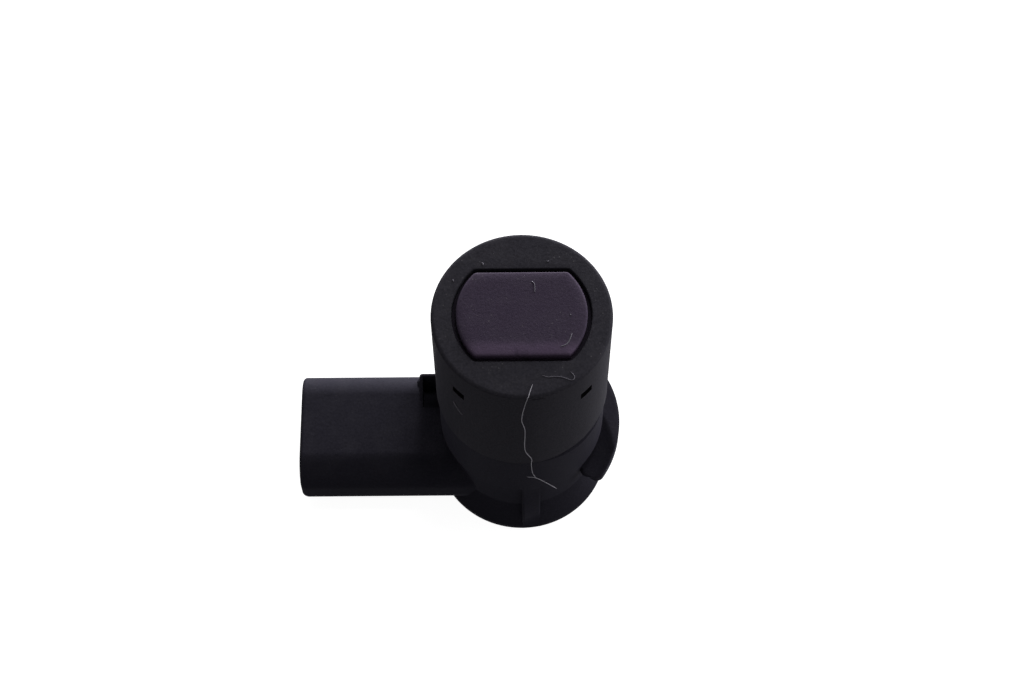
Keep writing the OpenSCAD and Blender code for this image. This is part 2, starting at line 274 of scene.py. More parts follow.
class Socket(Enum):
    """Kinds of node group sockets."""

    VALUE = "NodeSocketFloat"
    COLOUR = "NodeSocketColor"


class GroupMaker:
    """Builds the node groups that several finishes share, each once."""

    def __init__(self) -> None:
        """Builds the groups."""
        self.grain = self._grain()
        self.dust = self._dust()
        self.band = self._front_painted_highlight()

    @staticmethod
    def _start(name: str, inputs: dict[str, float],
               outputs: dict[str, Socket]) -> tuple[bpy.types.NodeTree, bpy.types.Node, bpy.types.Node]:
        """Starts a group with its sockets.

        Args:
            name: the group's name.
            inputs: its input values and their defaults.
            outputs: its outputs and their kinds.

        Returns:
            The tree, its input node and its output node.
        """
        tree = bpy.data.node_groups.new(name, "ShaderNodeTree")
        for label, value in inputs.items():
            entry = tree.interface.new_socket(label, in_out="INPUT", socket_type=Socket.VALUE.value)
            entry.default_value = value
        for label, kind in outputs.items():
            tree.interface.new_socket(label, in_out="OUTPUT", socket_type=kind.value)
        return tree, tree.nodes.new("NodeGroupInput"), tree.nodes.new("NodeGroupOutput")

    def _grain(self) -> bpy.types.NodeTree:
        """Fine moulded grain: a height from fine noise, and a slow mottle over it.

        Returns:
            The group's tree.
        """
        tree, source, sink = self._start("moulded_grain", {"Pitch": 5000.0, "Mottle Pitch": 700.0},
                                         {"Height": Socket.VALUE, "Mottle": Socket.VALUE})
        place = tree.nodes.new("ShaderNodeTexCoord")
        for label, pitch, detail in (("Height", "Pitch", 2.0), ("Mottle", "Mottle Pitch", 5.0)):
            noise = tree.nodes.new("ShaderNodeTexNoise")
            noise.inputs["Detail"].default_value = detail
            noise.inputs["Roughness"].default_value = 0.6
            tree.links.new(place.outputs["Object"], noise.inputs["Vector"])
            tree.links.new(source.outputs[pitch], noise.inputs["Scale"])
            tree.links.new(noise.outputs["Fac"], sink.inputs[label])
        return tree

    def _dust(self) -> bpy.types.NodeTree:
        """Dust that lies on faces that look up, as a haze with loose specks in it.

        Returns:
            The group's tree.
        """
        tree, source, sink = self._start("settled_dust", {"Haze": 0.1, "Specks": 0.3, "Pitch": 1500.0},
                                         {"Mask": Socket.VALUE})
        place, normal = tree.nodes.new("ShaderNodeTexCoord"), tree.nodes.new("ShaderNodeNewGeometry")
        split = tree.nodes.new("ShaderNodeSeparateXYZ")
        tree.links.new(normal.outputs["Normal"], split.inputs[0])
        up = self._ramp(tree, split.outputs["Z"], 0.25, 0.95)
        haze = tree.nodes.new("ShaderNodeTexNoise")
        haze.inputs["Scale"].default_value = 420.0
        haze.inputs["Detail"].default_value = 6.0
        specks = tree.nodes.new("ShaderNodeTexVoronoi")
        specks.inputs["Randomness"].default_value = 1.0
        tree.links.new(source.outputs["Pitch"], specks.inputs["Scale"])
        for node in (haze, specks):
            tree.links.new(place.outputs["Object"], node.inputs["Vector"])
        dots = self._ramp(tree, specks.outputs["Distance"], 0.16, 0.08)
        soft = self._ramp(tree, haze.outputs["Fac"], 0.38, 0.72)
        some = self._ramp(tree, haze.outputs["Fac"], 0.42, 0.6)
        loose = self._math(tree, "MULTIPLY", dots, some)
        layers = [self._math(tree, "MULTIPLY", soft, source.outputs["Haze"]),
                  self._math(tree, "MULTIPLY", loose, source.outputs["Specks"])]
        total = self._math(tree, "MULTIPLY", self._math(tree, "ADD", *layers), up)
        tree.links.new(total, sink.inputs["Mask"])
        return tree

    def _front_painted_highlight(self) -> bpy.types.NodeTree:
        """Painted highlight: an uneven lighter band along the front of a face, by the distance in front of the
        axis, standing in for the overhead lamp's reflection along the front edge.

        Returns:
            The group's tree.
        """
        tree, source, sink = self._start("front_painted_highlight", {"From": -3.4 * MM, "To": -5.3 * MM},
                                         {"Mask": Socket.VALUE})
        place, split = tree.nodes.new("ShaderNodeTexCoord"), tree.nodes.new("ShaderNodeSeparateXYZ")
        tree.links.new(place.outputs["Object"], split.inputs[0])
        ramp = tree.nodes.new("ShaderNodeMapRange")
        ramp.interpolation_type = "SMOOTHSTEP"
        tree.links.new(split.outputs["Y"], ramp.inputs["Value"])
        tree.links.new(source.outputs["From"], ramp.inputs["From Min"])
        tree.links.new(source.outputs["To"], ramp.inputs["From Max"])
        noise = tree.nodes.new("ShaderNodeTexNoise")
        noise.inputs["Scale"].default_value = 600.0
        tree.links.new(place.outputs["Object"], noise.inputs["Vector"])
        patchy = self._ramp(tree, noise.outputs["Fac"], 0.05, 0.5)
        tree.links.new(self._math(tree, "MULTIPLY", ramp.outputs["Result"], patchy), sink.inputs["Mask"])
        return tree

    @staticmethod
    def _math(tree: bpy.types.NodeTree, kind: str, a: bpy.types.NodeSocket,
              b: bpy.types.NodeSocket) -> bpy.types.NodeSocket:
        """Joins two values with one operation.

        Args:
            tree: the nodes to add to.
            kind: the operation.
            a: first value.
            b: second value.

        Returns:
            The result's socket.
        """
        node = tree.nodes.new("ShaderNodeMath")
        node.operation = kind
        tree.links.new(a, node.inputs[0])
        tree.links.new(b, node.inputs[1])
        return node.outputs[0]

    @staticmethod
    def _ramp(tree: bpy.types.NodeTree, value: bpy.types.NodeSocket, low: float,
              high: float) -> bpy.types.NodeSocket:
        """Maps a value with a soft step.

        Args:
            tree: the nodes to add to.
            value: the value to map.
            low: value that gives 0.
            high: value that gives 1.

        Returns:
            The result's socket.
        """
        node = tree.nodes.new("ShaderNodeMapRange")
        node.interpolation_type = "SMOOTHSTEP"
        node.inputs["From Min"].default_value = low
        node.inputs["From Max"].default_value = high
        tree.links.new(value, node.inputs["Value"])
        return node.outputs["Result"]


@dataclass(frozen=True)
class Finish:
    """One surface finish: two colours that the mottle mixes, gloss, grain, dust and an optional painted
    highlight along the front.
    """

    name: str
    dark: Colour
    light: Colour
    roughness: tuple[float, float] = (0.5, 0.62)
    metallic: float = 0.0
    specular: float = 0.4
    grain_pitch: float = 5200.0
    mottle_pitch: float = 650.0
    bump_mm: float = 0.012
    haze: float = 0.0
    specks: float = 0.0
    dust_colour: Colour = (0.42, 0.41, 0.42)
    stripes_per_m: float = 0.0
    sheen_tint: Colour = (1.0, 1.0, 1.0)
    # Colour of a painted highlight, a lighter band along the front of the face, or None.
    front_painted_highlight: Colour | None = None

    def make(self, groups: GroupMaker) -> bpy.types.Material:
        """Builds the material.

        Args:
            groups: the shared node groups.

        Returns:
            The material.
        """
        material = bpy.data.materials.new(self.name)
        material.use_nodes = True
        tree = material.node_tree
        shader = tree.nodes["Principled BSDF"]
        shader.inputs["Metallic"].default_value = self.metallic
        shader.inputs["Specular IOR Level"].default_value = self.specular
        shader.inputs["Specular Tint"].default_value = (*self.sheen_tint, 1.0)
        pitches = {"Pitch": self.grain_pitch, "Mottle Pitch": self.mottle_pitch}
        grain = self._group(tree, groups.grain, pitches)
        tone = self._mix(tree, grain.outputs["Mottle"], linear(self.dark), linear(self.light))
        gloss = tree.nodes.new("ShaderNodeMapRange")
        gloss.inputs["To Min"].default_value, gloss.inputs["To Max"].default_value = self.roughness
        tree.links.new(grain.outputs["Mottle"], gloss.inputs["Value"])
        tree.links.new(gloss.outputs["Result"], shader.inputs["Roughness"])
        # Painted highlight: a lighter colour in an uneven band along the front of the face.
        if self.front_painted_highlight:
            band = self._group(tree, groups.band, {})
            tone = self._mix(tree, band.outputs["Mask"], tone, linear(self.front_painted_highlight))
        if self.haze or self.specks:
            dust = self._group(tree, groups.dust, {"Haze": self.haze, "Specks": self.specks})
            tone = self._mix(tree, dust.outputs["Mask"], tone, linear(self.dust_colour))
        tree.links.new(tone, shader.inputs["Base Color"])
        bump = tree.nodes.new("ShaderNodeBump")
        bump.inputs["Strength"].default_value = 0.6
        bump.inputs["Distance"].default_value = self.bump_mm * MM
        tree.links.new(grain.outputs["Height"], bump.inputs["Height"])
        tree.links.new(bump.outputs["Normal"], shader.inputs["Normal"])
        if self.stripes_per_m:
            self._stripes(tree, bump)
        return material

    def _stripes(self, tree: bpy.types.NodeTree, bump: bpy.types.ShaderNodeBump) -> None:
        """Adds turns of wire, as waves up the Z axis, under the grain.

        Args:
            tree: the material's nodes.
            bump: the grain's bump node.
        """
        wave = tree.nodes.new("ShaderNodeTexWave")
        wave.bands_direction = "Z"
        wave.inputs["Scale"].default_value = self.stripes_per_m
        place = tree.nodes.new("ShaderNodeTexCoord")
        under = tree.nodes.new("ShaderNodeBump")
        under.inputs["Distance"].default_value = 0.06 * MM
        tree.links.new(place.outputs["Object"], wave.inputs["Vector"])
        tree.links.new(wave.outputs["Fac"], under.inputs["Height"])
        tree.links.new(under.outputs["Normal"], bump.inputs["Normal"])

    @staticmethod
    def _group(tree: bpy.types.NodeTree, group: bpy.types.NodeTree,
               values: dict[str, float]) -> bpy.types.Node:
        """Places a shared group with its own values.

        Args:
            tree: the material's nodes.
            group: the shared group.
            values: the group's inputs that differ from its defaults.

        Returns:
            The group's node.
        """
        node = tree.nodes.new("ShaderNodeGroup")
        node.node_tree = group
        for label, value in values.items():
            node.inputs[label].default_value = value
        return node

    @staticmethod
    def _mix(tree: bpy.types.NodeTree, factor: bpy.types.NodeSocket, a: object,
             b: object) -> bpy.types.NodeSocket:
        """Mixes two colours, each a socket or a value.

        Args:
            tree: the material's nodes.
            factor: 0 for the first colour, 1 for the second.
            a: first colour.
            b: second colour.

        Returns:
            The result's socket.
        """
        node = tree.nodes.new("ShaderNodeMix")
        node.data_type = "RGBA"
        tree.links.new(factor, node.inputs["Factor"])
        for colour, label in ((a, 6), (b, 7)):
            if isinstance(colour, bpy.types.NodeSocket):
                tree.links.new(colour, node.inputs[label])
            else:
                node.inputs[label].default_value = colour
        return node.outputs[2]


COOL = (0.9, 0.87, 1.0)
SLEEVE = Finish("sleeve_plastic", (0.1, 0.097, 0.114), (0.216, 0.211, 0.235), roughness=(0.55, 0.8),
                specular=0.006, grain_pitch=2600.0, mottle_pitch=3200.0, bump_mm=0.05, haze=0.03, specks=0.3,
                sheen_tint=COOL)
HOUSING = Finish("housing_plastic", (0.095, 0.092, 0.115), (0.165, 0.16, 0.19), roughness=(0.55, 0.8),
                 specular=0.006, grain_pitch=2600.0, mottle_pitch=3200.0, bump_mm=0.045, haze=0.02, specks=0.08,
                 sheen_tint=COOL)
# The membrane's lighter band along its front is a painted highlight, for the overhead lamp's reflection there.
LACQUER = Finish("membrane_lacquer", (0.16, 0.135, 0.18), (0.235, 0.205, 0.262), roughness=(0.5, 0.75),
                 specular=0.02, grain_pitch=2600.0, mottle_pitch=3000.0, bump_mm=0.05, haze=0.03, specks=0.3,
                 sheen_tint=COOL, front_painted_highlight=(0.29, 0.245, 0.315))
SILICONE = Finish("silicone", (0.13, 0.115, 0.15), (0.17, 0.155, 0.19), roughness=(0.7, 0.85), specular=0.05)
GREY_SILICONE = Finish("silicone_grey", (0.27, 0.27, 0.29), (0.34, 0.34, 0.36), roughness=(0.6, 0.75))
# Painted shade: near-black colour for the faces inside the snap windows, standing in for the shadow in the
# hollow behind them.
WINDOW_PAINTED_SHADE = Finish("window_painted_shade", (0.02, 0.018, 0.022), (0.04, 0.036, 0.044), roughness=(0.9, 1.0), specular=0.03)
LINT = Finish("lint", (0.46, 0.45, 0.48), (0.6, 0.59, 0.62), roughness=(0.8, 0.95), specular=0.1)
FAINT_LINT = Finish("faint_lint", (0.3, 0.29, 0.32), (0.38, 0.37, 0.4), roughness=(0.8, 0.95), specular=0.1)
INNER_FINISHES: dict[str, Finish] = {
    "piezo_ceramic": Finish("piezo_ceramic", (0.74, 0.68, 0.5), (0.84, 0.79, 0.62), roughness=(0.5, 0.7)),
    "foam": Finish("foam", (0.74, 0.72, 0.66), (0.9, 0.88, 0.83), (0.85, 1.0), grain_pitch=1900.0,
                   bump_mm=0.15),
    "red_insulation": Finish("red_insulation", (0.5, 0.07, 0.05), (0.64, 0.11, 0.09), roughness=(0.35, 0.5)),
    "black_insulation": Finish("black_insulation", (0.06, 0.06, 0.06), (0.1, 0.1, 0.1), (0.35, 0.5)),
    "seal_rubber": Finish("seal_rubber", (0.04, 0.04, 0.04), (0.065, 0.065, 0.065), roughness=(0.55, 0.7)),
    "board_laminate": Finish("board_laminate", (0.05, 0.24, 0.12), (0.1, 0.34, 0.19), (0.3, 0.42),
                             mottle_pitch=900.0),
    "black_moulding": Finish("black_moulding", (0.1, 0.1, 0.11), (0.14, 0.14, 0.15)),
    "ferrite": Finish("ferrite", (0.2, 0.2, 0.21), (0.3, 0.3, 0.31), (0.6, 0.8), mottle_pitch=1500.0),
    "copper_wire": Finish("copper_wire", (0.6, 0.3, 0.12), (0.78, 0.44, 0.2), (0.25, 0.4), metallic=1.0,
                          stripes_per_m=900.0),
    "chip_epoxy": Finish("chip_epoxy", (0.075, 0.075, 0.085), (0.11, 0.11, 0.12), roughness=(0.6, 0.75)),
    "can_aluminium": Finish("can_aluminium", (0.66, 0.66, 0.68), (0.76, 0.76, 0.78), (0.28, 0.42),
                            metallic=1.0),
    "capacitor_ceramic": Finish("capacitor_ceramic", (0.58, 0.47, 0.34), (0.72, 0.61, 0.48), (0.4, 0.55)),
    "resistor_film": Finish("resistor_film", (0.09, 0.09, 0.1), (0.15, 0.15, 0.16), roughness=(0.25, 0.4)),
    "tinned_brass": Finish("tinned_brass", (0.68, 0.66, 0.6), (0.8, 0.78, 0.73), (0.25, 0.42), metallic=1.0),
}


# Camera and stage

@dataclass
class PhotoCamera:
    """Camera of the photograph, placed about the middle of the sensing face."""

    face_mm: float = 44.5
    focal_px: float = 2115.0
    distance_mm: float = 265.65
    elevation_deg: float = 64.59
    yaw_deg: float = -0.04
    roll_deg: float = -0.42
    face_right_mm: float = 1.23
    face_down_mm: float = -3.42

    def axes(self) -> Array:
        """Directions of the camera.

        Returns:
            Rows: right, down and forward.
        """
        e, roll, yaw = (math.radians(v) for v in (self.elevation_deg, self.roll_deg, self.yaw_deg))
        right = np.array([1.0, 0.0, 0.0])
        down = np.array([0.0, -math.sin(e), -math.cos(e)])
        forward = np.array([0.0, math.cos(e), -math.sin(e)])
        turned = np.stack([math.cos(roll) * right - math.sin(roll) * down,
                           math.sin(roll) * right + math.cos(roll) * down, forward])
        spin = np.array([[math.cos(yaw), math.sin(yaw), 0], [-math.sin(yaw), math.cos(yaw), 0], [0, 0, 1]])
        return turned @ spin

    def eye(self) -> Array:
        """Place of the camera.

        Returns:
            The place, in millimetres.
        """
        return np.array([0, 0, self.face_mm]) - np.array(
            [self.face_right_mm, self.face_down_mm, self.distance_mm]) @ self.axes()

    def rays(self, pixels: Array) -> Array:
        """Directions from the camera through pixels of the photograph.

        Args:
            pixels: columns and rows.

        Returns:
            One direction per pixel.
        """
        flat = (np.asarray(pixels, float) + 0.5 - np.array(FRAME_PX) / 2) / self.focal_px
        return np.column_stack([flat, np.ones(len(flat))]) @ self.axes()

    def place(self) -> None:
        """Makes the camera and gives it to the scene."""
        data = bpy.data.cameras.new("photo_camera")
        data.sensor_width = 36.0
        data.lens = self.focal_px * 36.0 / FRAME_PX[0]
        data.clip_start, data.clip_end = 0.01, 10.0
        camera = bpy.data.objects.new("photo_camera", data)
        bpy.context.scene.collection.objects.link(camera)
        right, down, forward = self.axes()
        turn = Matrix(np.column_stack([right, -down, -forward]).tolist()).to_4x4()
        camera.matrix_world = Matrix.Translation((self.eye() * MM).tolist()) @ turn
        bpy.context.scene.camera = camera


@dataclass(frozen=True)
class Lamp:
    """One soft square lamp that looks at the sensor's middle."""

    name: str
    place: tuple[float, float, float]
    size_m: float
    power_w: float

    def build(self) -> None:
        """Makes the lamp and turns it to the sensor."""
        data = bpy.data.lights.new(self.name, "AREA")
        data.size, data.energy = self.size_m, self.power_w
        lamp = bpy.data.objects.new(self.name, data)
        bpy.context.scene.collection.objects.link(lamp)
        aim = np.array([0, 0, 0.025]) - np.array(self.place)
        aim /= np.linalg.norm(aim)
        side = np.cross(aim, [0, 1, 0]) if abs(aim[1]) < 0.9 else np.cross(aim, [1, 0, 0])
        side /= np.linalg.norm(side)
        turn = Matrix(np.column_stack([side, np.cross(side, aim), -aim]).tolist()).to_4x4()
        lamp.matrix_world = Matrix.Translation(self.place) @ turn


LAMPS = (
    Lamp("zenith", (0.10, 0.09, 0.85), 0.10, 1.15),
    Lamp("top_right", (0.40, 0.10, 0.65), 0.36, 0.45),
    Lamp("back", (0.0, 0.70, 0.14), 0.40, 3.6),
    Lamp("back_low", (0.0, 0.70, 0.06), 0.11, 10.0),
    Lamp("right_back", (0.50, 0.50, 0.14), 0.40, 8.4),
    Lamp("right_low", (0.70, 0.0, 0.06), 0.11, 1.55),
)


@dataclass
class Studio:
    """Pale floor that reads as white, soft lamps and a dim room."""

    floor_half_m: float = 3.0
    floor_tone: float = 0.4
    floor_white: float = 0.93
    room: float = 0.22

    def build(self) -> None:
        """Makes the floor, the lamps and the world."""
        self._floor()
        for lamp in LAMPS:
            lamp.build()
        self._world()

    @staticmethod
    def _seen(tree: bpy.types.NodeTree, low: float, high: float) -> bpy.types.NodeSocket:
        """Level that differs between rays that show a background and rays that only carry light.

        Args:
            tree: the material's or the world's nodes.
            low: level for the rays that only carry light.
            high: level for rays of the camera, of gloss and of glass.

        Returns:
            The level's socket.
        """
        path, level = tree.nodes.new("ShaderNodeLightPath"), tree.nodes.new("ShaderNodeMapRange")
        seen = path.outputs["Is Camera Ray"]
        for kind in ("Is Glossy Ray", "Is Transmission Ray"):
            either = tree.nodes.new("ShaderNodeMath")
            either.operation = "MAXIMUM"
            tree.links.new(seen, either.inputs[0])
            tree.links.new(path.outputs[kind], either.inputs[1])
            seen = either.outputs[0]
        level.inputs["To Min"].default_value, level.inputs["To Max"].default_value = low, high
        tree.links.new(seen, level.inputs["Value"])
        return level.outputs["Result"]

    def _floor(self) -> None:
        """Flat pale floor, lit by the lamps, that shows as white and keeps the object's shadow."""
        h = self.floor_half_m
        mesh = bpy.data.meshes.new("floor")
        mesh.from_pydata([(-h, -h, 0), (h, -h, 0), (h, h, 0), (-h, h, 0)], [], [(0, 1, 2, 3)])
        floor = bpy.data.objects.new("floor", mesh)
        bpy.context.scene.collection.objects.link(floor)
        material = bpy.data.materials.new("pale_floor")
        material.use_nodes = True
        tree = material.node_tree
        tree.nodes.remove(tree.nodes["Principled BSDF"])
        pale, glow = tree.nodes.new("ShaderNodeBsdfDiffuse"), tree.nodes.new("ShaderNodeEmission")
        pale.inputs["Color"].default_value = (self.floor_tone, self.floor_tone, self.floor_tone, 1)
        both = tree.nodes.new("ShaderNodeAddShader")
        tree.links.new(self._seen(tree, 0.0, self.floor_white), glow.inputs["Strength"])
        tree.links.new(pale.outputs[0], both.inputs[0])
        tree.links.new(glow.outputs[0], both.inputs[1])
        tree.links.new(both.outputs[0], tree.nodes["Material Output"].inputs[0])
        mesh.materials.append(material)

    def _world(self) -> None:
        """A white surrounding that lights the object only as a dim, even room does."""
        world = bpy.data.worlds.new("studio")
        bpy.context.scene.world = world
        world.use_nodes = True
        tree = world.node_tree
        room = tree.nodes["Background"]
        room.inputs["Color"].default_value = (1, 1, 1, 1)
        tree.links.new(self._seen(tree, self.room, 1.0), room.inputs["Strength"])


# Pieces

@dataclass
class HeadSleeve:
    """Sleeve around the head, with a flatted opening in its face and four snap windows in its wall."""

    radius: float = 11.5
    inner: float = 10.2
    face: float = 44.5
    plate: float = 2.0
    low: float = 22.9
    lift: float = 0.7
    opening_w: float = 8.87
    opening_h: float = 6.48
    opening_edge: float = 0.14
    rim_across: float = 0.5
    rim_drop: float = 0.42
    window_half_w: float = 1.0
    window_half_h: float = 0.7
    window_drop: float = 5.9
    window_floor: float = 10.25
    nick_deg: float = -80.5
    nick_depth: float = 0.16

    def angles(self) -> Array:
        """Angles about the axis, closer at the opening's corners and at the windows' edges.

        Returns:
            The angles, in radians.
        """
        corner = math.asin(self.opening_h / self.opening_w)
        corners = np.array([corner, math.pi - corner, math.pi + corner, -corner])
        half = self.window_half_w / self.radius
        beside = half + 0.006
        edges = np.radians(WINDOW_DEG)[:, None] + np.array([-beside, -half, half, beside])
        near = corners[:, None] + np.radians(np.linspace(-3.0, 3.0, 13))
        every = np.concatenate([np.radians(np.arange(0.0, 360.0, 1.25)), near.ravel(), edges.ravel()])
        return np.unique(np.round(every % (2 * math.pi), 5))

    def build(self, material: bpy.types.Material, gap: bpy.types.Material) -> bpy.types.Object:
        """Makes the sleeve as one closed profile carried round the axis.

        The profile's inner end follows the flatted opening and eases out to a circle before the rim. Inside a
        window the wall's radius drops to the window's floor. The lower edge lifts where the gap widens.

        Args:
            material: its finish.
            gap: finish of the windows' inside, a near-black painted shade for the shadow in the hollow behind
                them.

        Returns:
            The sleeve.
        """
        a = self.angles()
        mid = self.face - self.window_drop
        top, under = self.face - self.rim_drop, self.face - self.plate
        quarter = np.linspace(0.0, math.pi / 2, 10)
        edge = self.opening_edge
        opening = np.column_stack([self.opening_w + edge * (1 - np.cos(quarter)),
                                   self.face - edge * (1 - np.sin(quarter))])
        rim = np.column_stack([self.radius - self.rim_across * (1 - np.sin(quarter)),
                               top + self.rim_drop * np.cos(quarter)])
        nick = np.linspace(top - 0.06, top - 0.7, 9)
        gap_w = 0.05
        half = self.window_half_h
        wall_z = np.concatenate([nick, mid + np.array([half + gap_w, half, 0, -half, -half - gap_w]),
                                 [34, 30, 26]])
        wall = np.column_stack([np.full_like(wall_z, self.radius), wall_z])
        foot = filleted([(self.radius, 26, 0), (self.radius, self.low, 0.22), (self.inner, self.low, 0.15),
                         (self.inner, under, 0.2), (self.opening_w, under, 0)], closed=False)[1:]
        annulus = np.column_stack([np.linspace(self.opening_w + edge, self.radius - self.rim_across, 6)[1:-1],
                                   np.full(4, self.face)])
        profile = np.concatenate([opening, annulus, rim, wall, foot])
        r = np.repeat(profile[:, :1], len(a), 1)
        z = np.repeat(profile[:, 1:], len(a), 1)
        plain = self.inner - 0.05
        ease = np.clip((plain - profile[:, 0]) / (plain - self.opening_w - edge), 0.0, 1.0)
        r = r + ease[:, None] * (flatted(a, self.opening_w, self.opening_h) - self.opening_w)
        turn = np.abs((a[:, None] - np.radians(WINDOW_DEG) + math.pi) % (2 * math.pi) - math.pi)
        across = turn.min(1) <= self.window_half_w / self.radius + 1e-4
        outside = profile[:, :1] >= self.radius - 1e-6
        window = across & (np.abs(z - mid) <= half + 1e-4) & outside
        r = np.where(window, self.window_floor, r)
        z = z + self.lift * gap_share(a) * smooth(25.9, self.low + 0.3, z)
        along = smooth(4.6, 3.4, np.abs(aside(a, self.nick_deg)))
        dent = self.nick_depth * along * np.exp(-((z - top + 0.3) / 0.1) ** 2)
        r = r - np.where(outside, dent, 0.0)
        patch = Patchwork("head_sleeve")
        patch.add(revolve(r, z, a), wrap_rows=True)
        piece = patch.finish(material, "sleeve_plastic")
        # Faces inside the windows take the second slot's near-black painted shade.
        piece.data.materials.append(gap)
        middle = np.empty(3 * len(piece.data.polygons))
        piece.data.polygons.foreach_get("center", middle)
        middle = middle.reshape(-1, 3) / MM
        away = np.hypot(middle[:, 0], middle[:, 1])
        inside = (np.abs(middle[:, 2] - mid) < half + gap_w) & (away > self.inner + 0.02)
        inside &= away < self.radius - 0.12
        piece.data.polygons.foreach_set("material_index", inside.astype(np.int32))
        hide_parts("front_sleeve")
        return piece


@dataclass
class MembraneCup:
    """Lacquered cup whose slightly crowned roof is the membrane."""

    half_w: float = 8.29
    half_h: float = 5.82
    top: float = 44.95
    lip_top: float = 39.6
    lip_low: float = 38.2
    lip_radius: float = 8.55
    wall: float = 0.9
    thickness: float = 0.7
    edge: float = 0.22
    crown: float = 0.11
    crown_width: float = 1.3

    def build(self, material: bpy.types.Material) -> bpy.types.Object:
        """Makes the cup as a closed profile that follows the flatted outline.

        The roof falls by crown * (1 - d / width)^2 at a distance d from the edge, within the crown's width.

        Args:
            material: its finish.

        Returns:
            The cup.
        """
        corner = math.asin(self.half_h / self.half_w)
        near = np.array([corner, math.pi - corner, math.pi + corner, -corner])[:, None] + np.radians(
            np.linspace(-3.0, 3.0, 13))
        every = np.concatenate([np.radians(np.arange(0, 360, 1.5)), near.ravel()])
        a = np.unique(np.round(every % (2 * math.pi), 5))
        quarter = np.linspace(0.0, math.pi / 2, 7)
        inset = np.concatenate([[self.half_h], np.linspace(4.5, self.edge, 22),
                                self.edge * (1 - np.sin(quarter))[1:]])
        drop = np.concatenate([np.zeros(23), self.edge * (1 - np.cos(quarter))[1:]])
        outline = flatted(a, self.half_w, self.half_h)
        share = 1.0 - inset / self.half_h
        r = share[:, None] * outline
        depth = np.minimum(self.half_w - r, self.half_h - np.abs(r * np.sin(a)))
        fall = self.crown * np.clip(1.0 - depth / self.crown_width, 0.0, 1.0) ** 2
        z = self.top - fall - drop[:, None]
        hollow = flatted(a, self.half_w - self.wall, self.half_h - self.wall)
        roof = self.top - self.thickness
        ones = np.ones_like(a)
        lip = self.lip_radius * ones
        below_r = np.stack([outline, lip, lip, hollow, hollow, 0 * ones])
        levels = [self.lip_top, self.lip_top, self.lip_low, self.lip_low, roof, roof]
        below_z = np.array(levels)[:, None] * ones
        patch = Patchwork("membrane")
        patch.add(revolve(np.concatenate([r, below_r]), np.concatenate([z, below_z]), a))
        piece = patch.finish(material, "membrane_lacquer")
        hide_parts("membrane_cup")
        return piece


